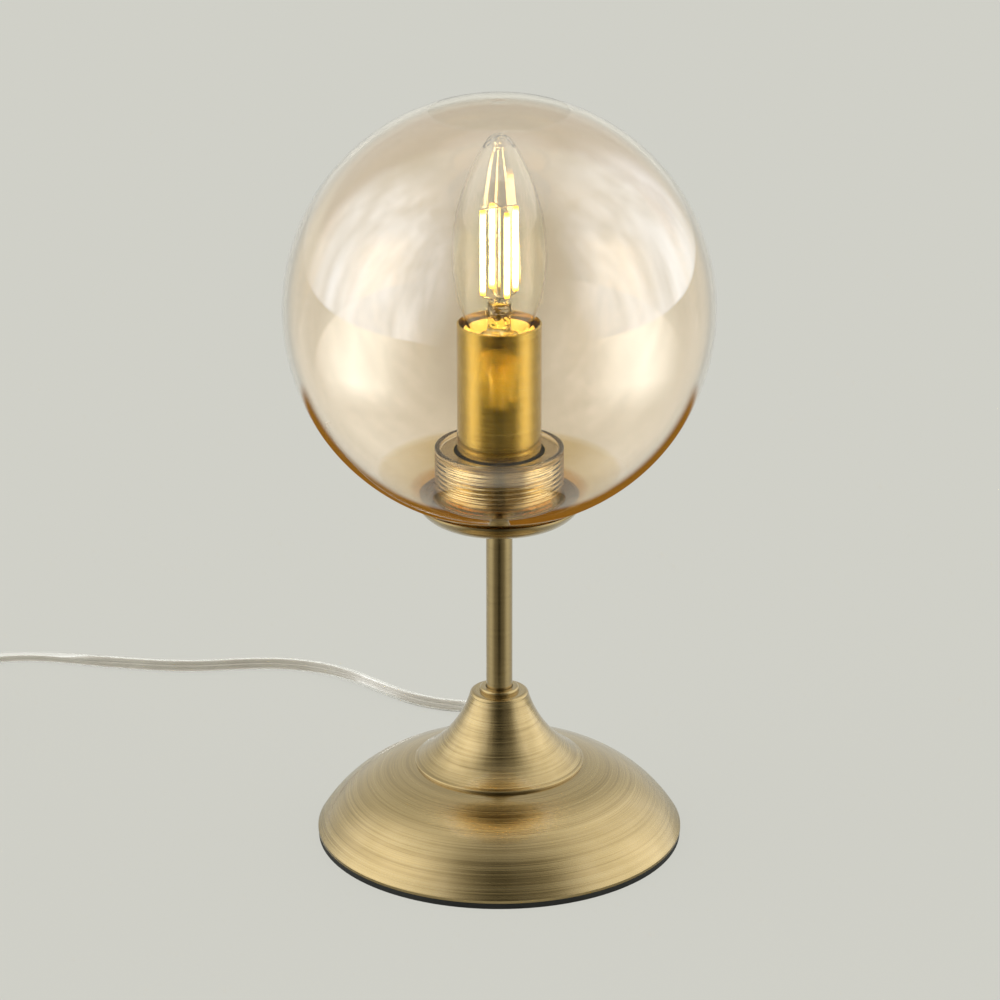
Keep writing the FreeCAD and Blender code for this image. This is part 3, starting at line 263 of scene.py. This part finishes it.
def plated(tree, dark, light, rough):
    """Nickel or zinc plating with a faint mottle."""
    speck = noise(tree, 500, 5)
    return {
        "Base Color": ramp(tree, speck, (0.3, dark), (0.7, light)),
        "Metallic": 1.0,
        "Roughness": spread(tree, speck, rough, rough + 0.14),
        "Normal": bump(tree, speck, 0.12, 0.00005),
    }


def amber_glass(tree):
    """Pale amber, deeper in the floor round the neck, in the fold and at the mark on the top, and clear in
    the neck. The floor's deeper amber is partly thick glass and partly a painted reflection of the brass
    dish under it."""
    _, away, height = polar(tree)
    past_neck = calculate(tree, "MAXIMUM", step_between(tree, away, mm(24.6), mm(25.2)),
                          step_between(tree, height, mm(140.5), mm(139.5)))
    # Partly painted reflection: the floor's deeper amber also stands in for the brass dish mirrored under
    # it.
    floor = product(tree, zone(tree, (46.5, 45), (150, 148)), past_neck)
    fold = zone(tree, (40, 31), (143, 138))
    mark = zone(tree, (5, 3.6), (270, 280))
    neck = zone(tree, (26.2, 25.2), (140, 143))
    floor_depth, mark_depth = 0.5, 0.3
    deep = calculate(tree, "MAXIMUM", product(tree, floor, floor_depth), product(tree, mark, mark_depth))
    deep = calculate(tree, "MAXIMUM", deep, fold)
    amber = ramp(tree, deep, (0.0, (0.985, 0.892, 0.770)), (0.5, (0.86, 0.68, 0.38)),
                 (1.0, (0.66, 0.34, 0.04)))
    uneven = product(tree, fold, noise(tree, 150, 2))
    seeds = calculate(tree, "MULTIPLY_ADD", noise(tree, 38, 2), 0.07, uneven)
    return {
        "Base Color": mixed(tree, neck, amber, (0.99, 0.95, 0.87, 1)),
        "Roughness": 0.0,
        "IOR": 1.52,
        "Transmission Weight": 1.0,
        "Normal": bump(tree, seeds, 0.7, 0.0006),
        "Coat Weight": calculate(tree, "SUBTRACT", 1.0, calculate(tree, "MAXIMUM", deep, neck)),
        "Coat Roughness": 0.0,
    }


def clear_glass(tree):
    """Clear glass, crumpled where the bulb's stem was pressed."""
    wave = noise(tree, 60, 1)
    pressed = product(tree, zone(tree, (5.5, 4.5), (188, 190)), noise(tree, 420, 1))
    skin = calculate(tree, "MULTIPLY_ADD", wave, 0.03, pressed)
    return {
        "Base Color": ramp(tree, wave, (0.3, (0.95, 0.98, 0.95)), (0.7, (0.99, 0.99, 0.98))),
        "Roughness": 0.0,
        "IOR": 1.5,
        "Transmission Weight": 1.0,
        "Normal": bump(tree, skin, 0.8, 0.0009),
    }


def filament_phosphor(tree):
    """White-hot along the middle and yellow at the ends, with the grain of the coat."""
    middle, hot, end = mm(233), mm(12.5), mm(15.8)
    off = calculate(tree, "ABSOLUTE", calculate(tree, "SUBTRACT", polar(tree)[2], middle))
    along = spread(tree, off, 0.0, 1.0, hot, end)
    grain = noise(tree, 1600, 2)
    glow = ramp(tree, along, (0.0, (1.0, 0.88, 0.46)), (0.6, (1.0, 0.70, 0.10)),
                (1.0, (0.95, 0.46, 0.03)))
    level = product(tree, spread(tree, along, 34.0, 3.0), spread(tree, grain, 0.8, 1.2))
    return {
        "Base Color": ramp(tree, grain, (0.3, (0.90, 0.66, 0.14)), (0.7, (1.0, 0.82, 0.30))),
        "Roughness": 0.6,
        "Emission Color": glow,
        "Emission Strength": level,
        "Normal": bump(tree, grain, 0.3, 0.0002),
    }


def moulded(tree, dark, light, rough, scale=900, depth=0.00004, **more):
    """Moulded plastic, rubber or board: a fine skin with slow changes of tone."""
    skin, slow = noise(tree, scale, 3), noise(tree, 35, 3)
    return {
        "Base Color": ramp(tree, slow, (0.35, dark), (0.65, light)),
        "Roughness": spread(tree, skin, rough, rough + 0.12),
        "Normal": bump(tree, skin, 0.25, depth),
        **more,
    }


def clear_pvc(tree):
    """Clear plastic with a slow haze."""
    haze = noise(tree, 120, 2)
    return {
        "Base Color": ramp(tree, haze, (0.3, (0.78, 0.73, 0.66)), (0.7, (0.87, 0.83, 0.76))),
        "Roughness": spread(tree, haze, 0.02, 0.06),
        "IOR": 1.42,
        "Transmission Weight": 0.86,
        "Normal": bump(tree, haze, 0.02, 0.00004),
    }


def iron(tree):
    """A rough casting."""
    return {**moulded(tree, (0.10, 0.10, 0.11), (0.22, 0.22, 0.23), 0.5, 420, 0.0004),
            "Metallic": 1.0}


FINISHES = {
    "antique_brass": antique_brass,
    "contact_brass": contact_brass,
    "zinc_steel": lambda tree: plated(tree, (0.52, 0.53, 0.55), (0.72, 0.73, 0.74), 0.24),
    "nickel": lambda tree: plated(tree, (0.62, 0.60, 0.55), (0.82, 0.80, 0.76), 0.12),
    "lead_wire": lambda tree: plated(tree, (0.40, 0.38, 0.35), (0.62, 0.60, 0.56), 0.2),
    "iron": iron,
    "amber_glass": amber_glass,
    "clear_glass": clear_glass,
    "filament_phosphor": filament_phosphor,
    "clear_pvc": clear_pvc,
    "pad_rubber": lambda tree: moulded(tree, (0.012, 0.013, 0.012), (0.022, 0.024, 0.022), 0.6),
    "cream_plastic": lambda tree: moulded(tree, (0.74, 0.66, 0.45), (0.80, 0.73, 0.53), 0.45),
    "black_glaze": lambda tree: moulded(tree, (0.02, 0.02, 0.03), (0.05, 0.05, 0.06), 0.1),
    "circuit_board": lambda tree: moulded(tree, (0.04, 0.18, 0.08), (0.08, 0.26, 0.12), 0.3),
    "white_pvc": lambda tree: moulded(tree, (0.72, 0.72, 0.70), (0.80, 0.80, 0.78), 0.3),
    "ivory_plastic": lambda tree: moulded(tree, (0.70, 0.69, 0.62), (0.75, 0.74, 0.68), 0.28),
    "black_plastic": lambda tree: moulded(tree, (0.015, 0.015, 0.015), (0.03, 0.03, 0.03), 0.3),
}
materials = {slot: finish_of(slot, shader) for slot, shader in FINISHES.items()}
lit_thread_finish = finish_of("lit_thread_brass", lit_thread_brass)
slots = {part["node"]: part["material_slot"] for part in frame["record"]["subparts"]}
for name, node in frame["nodes"].items():
    for held in node.material_slots:
        held.material = materials[slots[name]]


# ---------------------------------------------------------------- meshes

def weld(mesh):
    """Joins vertices that meet, such as those of an outline's ends on the axis."""
    loose = bmesh.new()
    loose.from_mesh(mesh)
    bmesh.ops.remove_doubles(loose, verts=loose.verts, dist=1e-6)
    bmesh.ops.dissolve_degenerate(loose, edges=loose.edges, dist=1e-7)
    loose.to_mesh(mesh)
    loose.free()


def piece(name, body, slot, vertices, faces):
    """A smooth mesh that rides on a body."""
    mesh = bpy.data.meshes.new(name)
    mesh.from_pydata([tuple(v) for v in vertices], [], faces)
    weld(mesh)
    mesh.shade_smooth()
    mesh.materials.append(materials[slot])
    made = bpy.data.objects.new(name, mesh)
    scene.collection.objects.link(made)
    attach(made, body)
    return made


def arc(centre, radius, start, end, count):
    """Points (radius, height) on an arc between two angles in degrees."""
    angles = [math.radians(start + (end - start) * k / count) for k in range(count + 1)]
    return [(centre[0] + radius * math.cos(a), centre[1] + radius * math.sin(a)) for a in angles]


def lathe(name, body, slot, outline, offset, steps):
    """A closed outline of (radius, height) in millimetres, turned about the lamp's axis. offset gives
    how far a point moves out, from its place in the outline, its height and its share of a turn."""
    count = len(outline)
    vertices = []
    for step in range(steps):
        share = step / steps
        heading = math.tau * share
        for k, (radius, height) in enumerate(outline):
            out = radius + offset(k, height, share)
            vertices.append(mm(out * math.cos(heading), out * math.sin(heading), height))
    faces = []
    for step in range(steps):
        here, there = step * count, (step + 1) % steps * count
        for k in range(count):
            after = (k + 1) % count
            faces.append((here + k, here + after, there + after, there + k))
    return piece(name, body, slot, vertices, faces)


# ---------------------------------------------------------------- cords

CORD_WIDTH, CORD_THICKNESS = 0.0052, 0.0033
CORE_WIDTH, CORE_OFF_MIDDLE = 0.0018, 0.00115


def spline_through(name, points):
    """A NURBS line along its control points, and the points read from it."""
    curve = bpy.data.curves.new(name + "_line", "CURVE")
    curve.dimensions = "3D"
    line = curve.splines.new("NURBS")
    line.points.add(len(points) - 1)
    for point, (x, y, z) in zip(line.points, points):
        point.co = (x, y, z, 1)
    line.order_u = 3
    line.use_endpoint_u = True
    line.resolution_u = 6
    holder = bpy.data.objects.new(name + "_line", curve)
    mesh = bpy.data.meshes.new_from_object(holder)
    read = [v.co.copy() for v in mesh.vertices]
    bpy.data.objects.remove(holder)
    return read


def tangent_at(points, k):
    """The way a line of points runs at one of them."""
    return (points[min(k + 1, len(points) - 1)] - points[max(k - 1, 0)]).normalized()


def ribbon(name, points, slot, section, shift, rolls):
    """A tube of a section that follows points. shift moves it sideways in the cord, and rolls has the
    angles by which the cord lies turned on its edge, or is None where it lies flat."""
    vertices, faces = [], []
    count = len(section)
    for k, point in enumerate(points):
        side = tangent_at(points, k).cross(Vector((0, 0, 1))).normalized()
        up = side.cross(tangent_at(points, k))
        if rolls:
            turn = Quaternion(tangent_at(points, k), rolls[k])
            side, up = turn @ side, turn @ up
        vertices += [point + side * (across + shift) + up * rise for across, rise in section]
    for k in range(len(points) - 1):
        for j in range(count):
            after = (j + 1) % count
            faces.append((k * count + j, k * count + after, (k + 1) * count + after,
                          (k + 1) * count + j))
    faces.append(tuple(range(count)))
    faces.append(tuple((len(points) - 1) * count + j for j in reversed(range(count))))
    return piece(name, "lamp", slot, vertices, faces)


def oval(width, thickness, count=20):
    """A flat lead's section: two half rounds joined by flats."""
    round_radius, flat = thickness / 2, (width - thickness) / 2
    places = []
    for k in range(count):
        angle = math.tau * (k + 0.5) / count
        places.append((math.copysign(flat, math.cos(angle)) + round_radius * math.cos(angle),
                       round_radius * math.sin(angle)))
    return places


def roll_at(points, k):
    """How far the lead is turned on its edge: as far as its height over the table needs, leaning away
    from the camera, and not at its ends, where its fittings hold it flat."""
    begin, turning, end, returning, steepest = 0.10, 0.07, 0.86, 0.08, 0.88
    share = k / (len(points) - 1)
    free = max(0.0, min(1.0, (share - begin) / turning, (end - share) / returning))
    rise = (points[k].z - CORD_THICKNESS / 2) / ((CORD_WIDTH - CORD_THICKNESS) / 2)
    return -free * math.asin(max(0.0, min(steepest, rise)))


def flat_lead(name, points, node, rolled=False):
    """Clear flat twin lead in place of a round node: the sleeve and its two cores."""
    read = spline_through(name, points)
    rolls = [roll_at(read, k) for k in range(len(read))] if rolled else None
    sleeve = ribbon(name, read, "clear_pvc", oval(CORD_WIDTH, CORD_THICKNESS), 0, rolls)
    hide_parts(node)
    for k, side in enumerate((-1, 1), 1):
        core = ribbon(f"{name}_core_{k}", read, "white_pvc", oval(CORE_WIDTH, CORE_WIDTH, 12),
                      side * CORE_OFF_MIDDLE, rolls)
        core.parent = sleeve


# Heights of the lead's middle in millimetres, where it lies flat and where it lies turned on its edge.
LOW, ON_EDGE = 1.65, 2.5
route = [
    mm(0, 79, 7.6),
    mm(0, 94, 7.6),
    mm(-7, 107.5, 4.2),
    mm(-22, 112.8, ON_EDGE),
    mm(-36, 119.5, ON_EDGE),
    mm(-49, 131.5, ON_EDGE),
    mm(-62, 144.5, ON_EDGE),
    mm(-78, 154, ON_EDGE),
    mm(-100, 157.5, ON_EDGE),
    mm(-131, 152.5, ON_EDGE),
    mm(-164, 158, ON_EDGE),
    mm(-191, 165.5, LOW),
    mm(-209, 165.2, LOW),
    mm(-223.7, 156.7, 3.2),
    mm(-232, 142, 5),
    mm(-232, 125, 5),
]
SWITCH = ("switch_lower", "switch_upper", "switch_rocker", "switch_screws", "switch_terminals")
PLUG = ("plug_body", "plug_pins", "plug_pin_sleeves")


def coil_points():
    """Seven turns in two layers, winding in and then out, from the switch to the plug."""
    middle, radius, pitch, layer = Vector((-274, 27)), 42, 6, 4.0
    outside = 1 / math.cos(math.radians(15)) ** 2
    per_half, half_turns, climb, tighter = 6, 14, 7, 1.2
    switch_x, plug_x, plug_z = -232, -229, 6.85
    aways = []
    for k in range(half_turns):
        steps = k if k <= climb else half_turns + 1 - k
        aways.append(radius - pitch / 2 * steps - (tighter if k in (climb, climb + 1) else 0))
    aways.append(radius + pitch / 2)
    points = [mm(switch_x, 67, 5), mm(switch_x, 57, 4.6), mm(switch_x, 46, 2.2)]
    for k in range(half_turns):
        for j in range(per_half):
            share = j / per_half
            away = (aways[k] + (aways[k + 1] - aways[k]) * share) * outside
            heading = -math.pi * (k + share)
            rise = 0 if k < climb else layer if k > climb else layer * share
            points.append(mm(middle.x + away * math.cos(heading), middle.y + away * math.sin(heading),
                             LOW + rise))
    points += [mm(plug_x, 27, LOW + layer), mm(plug_x, 16, LOW + layer + 0.6), mm(plug_x, 5, plug_z),
               mm(plug_x, -5, plug_z)]
    return points


flat_lead("lead", route, "cord_lead", True)
flat_lead("lead_coil", coil_points(), "cord_coil")


# ---------------------------------------------------------------- globe and gallery

def thread(pitch, depth, low, high):
    """A screw thread's offset between two heights, with rounded crests, which fades at both ends."""
    def offset(k, height, share):
        fade = max(0.0, min(1.0, (height - low) / pitch, (high - height) / pitch))
        return depth * fade * (1 - 2 * abs(math.sin(math.pi * (height / pitch - share))))
    return offset


def upright(radius, start, end, pitch):
    """Points up or down a wall, close enough for its thread."""
    count = math.ceil(abs(end - start) / pitch * 10)
    return [(radius, start + (end - start) * k / count) for k in range(count + 1)]


def blown_globe():
    """The sphere, its fold and its threaded neck as one skin of glass, with the mark at the top."""
    radius, wall, bore, fold = 80, 2, 22.2, 3
    fold_height = 137.4
    fold_centre = (bore + fold, fold_height)
    centre = fold_height + math.sqrt((radius - fold) ** 2 - fold_centre[0] ** 2)
    lean = math.degrees(math.atan2(fold_height - centre, fold_centre[0]))
    neck_top, lip, pitch, depth = 156.9, 0.6, 2.0, 0.10
    mark_radius, mark_depth, near_top = 4.4, 0.12, 3
    outline = arc((0, centre), radius, 90, lean, 105)
    outline += arc(fold_centre, fold, lean, -180, 16)[1:]
    outline += upright(bore, fold_height, neck_top - lip, pitch)[1:]
    outline += arc((bore + lip, neck_top - lip), lip, 180, 90, 5)[1:]
    outline += arc((bore + wall - lip, neck_top - lip), lip, 90, 0, 5)
    first_neck = len(outline)
    outline += upright(bore + wall, neck_top - lip, fold_height, pitch)[1:]
    last_neck = len(outline)
    outline += arc(fold_centre, fold - wall, -180, lean, 8)[1:]
    outline += arc((0, centre), radius - wall, lean, 90, 105)[1:]
    outline = [(r, z - mark_depth * max(0.0, 1 - r / mark_radius) ** 2
                if z > centre + radius - near_top else z) for r, z in outline]
    ridges = thread(pitch, depth, fold_height + 2, neck_top - lip - 0.4)

    def offset(k, height, share):
        return ridges(k, height, share) if first_neck <= k < last_neck else 0

    glass = lathe("glass_globe", "globe", "amber_glass", outline, offset, 200)
    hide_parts("globe")


def threaded_cup():
    """The gallery's cup with the thread that the globe's neck turns on."""
    outer, inner, bore, low, floor, top = 21.9, 20.7, 5.2, 129.5, 130.7, 154.5
    pitch, depth, edge = 1.8, 0.3, 1.2
    wall = upright(outer - depth, low + edge, top, pitch)
    outline = [(bore, low), (outer - edge, low)] + wall + [(inner, top), (inner, floor), (bore, floor)]
    ridges = thread(pitch, depth, low + 2.5, top - 0.8)

    def offset(k, height, share):
        return ridges(k, height, share) if 2 <= k < 2 + len(wall) else 0

    cup = lathe("threaded_cup", "lamp", "antique_brass", outline, offset, 160)
    # The cup wears the paler, painted-light copy of the brass.
    cup.data.materials[0] = lit_thread_finish
    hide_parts("gallery_cup")


blown_globe()
threaded_cup()


# ---------------------------------------------------------------- table, light

def front_of(tree, vector):
    """1 straight in front of the lamp, -1 straight behind it, by heading alone."""
    flat = add(tree, "VectorMath", {0: vector, 1: (1, 1, 0)}, operation="MULTIPLY").outputs[0]
    heading = add(tree, "VectorMath", {0: flat}, operation="NORMALIZE").outputs[0]
    return product(tree, add(tree, "SeparateXYZ", {0: heading}).outputs["Y"], -1.0)


def shade_round(tree, front, side, behind):
    """How bright the studio is by heading: dark where the camera stands, bright at both sides. front is
    what front_of says, and side and behind are the levels there."""
    return ramp(tree, calculate(tree, "MULTIPLY_ADD", front, 0.5, 0.5),
                (0.0, (behind,) * 3), (0.30, (behind,) * 3), (0.60, (side,) * 3),
                (0.74, (side * 0.8,) * 3), (0.89, (0.40, 0.38, 0.34)), (0.985, (0.34, 0.32, 0.28)),
                (0.995, (0.06, 0.06, 0.05)))


def seen_plainly(tree):
    """1 for what the camera sees, straight or through glass, and 0 for what a surface mirrors."""
    light = add(tree, "LightPath")
    unmirrored = calculate(tree, "LESS_THAN", light.outputs["Glossy Depth"], 0.5)
    through = product(tree, light.outputs["Is Transmission Ray"], unmirrored)
    return calculate(tree, "MAXIMUM", light.outputs["Is Camera Ray"], through)


def mirrored_table(tree, away, sharp):
    """The table's colour where metal and glass mirror it, brighter far out at the sides. Also how far it
    is amber behind the lamp, as light through the globe would make it, which clear glass alone mirrors."""
    front = front_of(tree, place(tree))
    far = ramp(tree, calculate(tree, "MULTIPLY_ADD", front, 0.5, 0.5),
               (0.36, (0, 0, 0)), (0.60, (1, 1, 1)), (0.74, (0.8, 0.8, 0.8)), (0.86, (0, 0, 0)))
    far = product(tree, far, spread(tree, away, 0.0, 1.5, 0.30, 0.46))
    level = add(tree, "VectorMath", {0: shade_round(tree, front, 1.5, 1.0), 1: far}).outputs[0]
    level = add(tree, "VectorMath", {0: level, 1: BACKGROUND[:3]}, operation="MULTIPLY").outputs[0]
    boost = calculate(tree, "MULTIPLY_ADD", product(tree, far, sharp), 0.35, 1.0)
    level = add(tree, "VectorMath", {0: level, "Scale": boost}, operation="SCALE").outputs[0]
    cast = product(tree, step_between(tree, away, 0.43, 0.36), step_between(tree, front, -0.55, -0.80),
                   sharp)
    return mixed(tree, cast, level, (0.27, 0.12, 0.015, 1)), cast


def table_finish(tree):
    """The camera sees the table's plain colour with a little of its shading. Metal and glass mirror the
    studio's light on it instead, except right under the lamp."""
    away = add(tree, "VectorMath", {0: place(tree)}, operation="LENGTH").outputs["Value"]
    light = add(tree, "LightPath")
    level, cast = mirrored_table(tree, away, light.outputs["Is Singular Ray"])
    seen = seen_plainly(tree)
    mirrored = calculate(tree, "MAXIMUM", light.outputs["Is Glossy Ray"],
                         light.outputs["Is Transmission Ray"])
    lit = product(tree, mirrored, calculate(tree, "SUBTRACT", 1.0, seen),
                  calculate(tree, "MAXIMUM", step_between(tree, away, 0.09, 0.16), cast))
    plain_share = 0.90
    paint = add(tree, "BsdfDiffuse", {"Color": (0.60, 0.60, 0.56, 1)})
    plain = add(tree, "Emission", {"Color": BACKGROUND, "Strength": 1.0})
    shaded = add(tree, "Emission", {"Color": level, "Strength": 1.0})
    flat = add(tree, "MixShader", {0: product(tree, seen, plain_share), 1: paint.outputs[0],
                                   2: plain.outputs[0]})
    whole = add(tree, "MixShader", {0: lit, 1: flat.outputs[0], 2: shaded.outputs[0]})
    add(tree, "OutputMaterial", {"Surface": whole.outputs[0]})


def table():
    """A wide pale floor."""
    far = 4
    mesh = bpy.data.meshes.new("table")
    mesh.from_pydata([(-far, -far, 0), (far, -far, 0), (far, far, 0), (-far, far, 0)], [],
                     [(0, 1, 2, 3)])
    made = bpy.data.objects.new("table", mesh)
    scene.collection.objects.link(made)
    material = bpy.data.materials.new("table")
    material.use_nodes = True
    material.node_tree.nodes.clear()
    table_finish(material.node_tree)
    mesh.materials.append(material)


def bulb_light():
    """The lit bulb's own warm light on the holder. The bulb's glass lets it through."""
    light = bpy.data.lights.new("bulb_light", "POINT")
    light.energy = 0.085
    light.color = (1.0, 0.56, 0.04)
    light.shadow_soft_size = 0.006
    made = bpy.data.objects.new("bulb_light", light)
    scene.collection.objects.link(made)
    made.location = (0, 0, 0.226)
    made.visible_camera = False
    made.visible_glossy = False
    made.visible_transmission = False
    for name in ("bulb_glass", "bulb_press", "bulb_filaments"):
        frame["nodes"][name].visible_shadow = False


def lobe(tree, direction, towards, edge, core):
    """A large soft light in the world round one direction, 0 to 1. edge and core are the angles off it
    where the light begins and where it is full."""
    towards = Vector(towards).normalized()
    near = add(tree, "VectorMath", {0: direction, 1: towards}, operation="DOT_PRODUCT")
    return step_between(tree, near.outputs["Value"], math.cos(math.radians(edge)),
                        math.cos(math.radians(core)))


def soft_boxes(tree, direction, sharp):
    """The strength of the studio's lamps: two tall ones at the sides behind cloth and a softer one
    overhead. Clear glass mirrors them brighter than metal does."""
    folds = add(tree, "VectorMath", {0: direction, 1: (7, 7, 1.2)}, operation="MULTIPLY").outputs[0]
    weave = add(tree, "TexNoise", {"Vector": folds, "Scale": 1.0, "Detail": 2.0}).outputs["Fac"]
    cloth = spread(tree, weave, 0.58, 1.20, 0.32, 0.66)
    right = product(tree, lobe(tree, direction, (0.94, 0.10, 0.30), 56, 20), 0.85)
    sides = calculate(tree, "ADD", lobe(tree, direction, (-0.93, -0.20, 0.34), 55, 20), right)
    soft = product(tree, sides, cloth, calculate(tree, "MULTIPLY_ADD", sharp, 0.50, 1.30))
    top = product(tree, lobe(tree, direction, (0, 0.1, 1), 38, 14),
                  calculate(tree, "MULTIPLY_ADD", sharp, 0.2, 0.3))
    return calculate(tree, "ADD", soft, top)


def surroundings():
    """The studio that metal and glass mirror, dark behind the camera. Seen plainly it is the table's
    colour."""
    world = bpy.data.worlds.new("surroundings")
    scene.world = world
    world.use_nodes = True
    tree = world.node_tree
    tree.nodes.clear()
    direction = add(tree, "TexCoord").outputs["Generated"]
    sharp = add(tree, "LightPath").outputs["Is Singular Ray"]
    round_about = add(tree, "VectorMath", {0: shade_round(tree, front_of(tree, direction), 1.2, 1.5),
                                           1: BACKGROUND[:3]}, operation="MULTIPLY").outputs[0]
    walls = add(tree, "Background", {"Color": round_about, "Strength": 0.8})
    boxes = add(tree, "Background", {"Color": mixed(tree, sharp, (1.0, 1.0, 1.0, 1),
                                                    (0.84, 0.96, 1.16, 1)),
                                     "Strength": soft_boxes(tree, direction, sharp)})
    studio = add(tree, "AddShader", {0: walls.outputs[0], 1: boxes.outputs[0]})
    plain = add(tree, "Background", {"Color": BACKGROUND, "Strength": 1.0})
    either = add(tree, "MixShader", {0: seen_plainly(tree), 1: studio.outputs[0],
                                     2: plain.outputs[0]})
    add(tree, "OutputWorld", {"Surface": either.outputs[0]})


table()
surroundings()
bulb_light()

# What lies past the photograph's edge shows neither in the globe nor through it.
for name in ("lead_coil", "lead_coil_core_1", "lead_coil_core_2") + PLUG + SWITCH:
    put_away = frame["nodes"].get(name) or bpy.data.objects[name]
    put_away.visible_glossy = put_away.visible_transmission = False
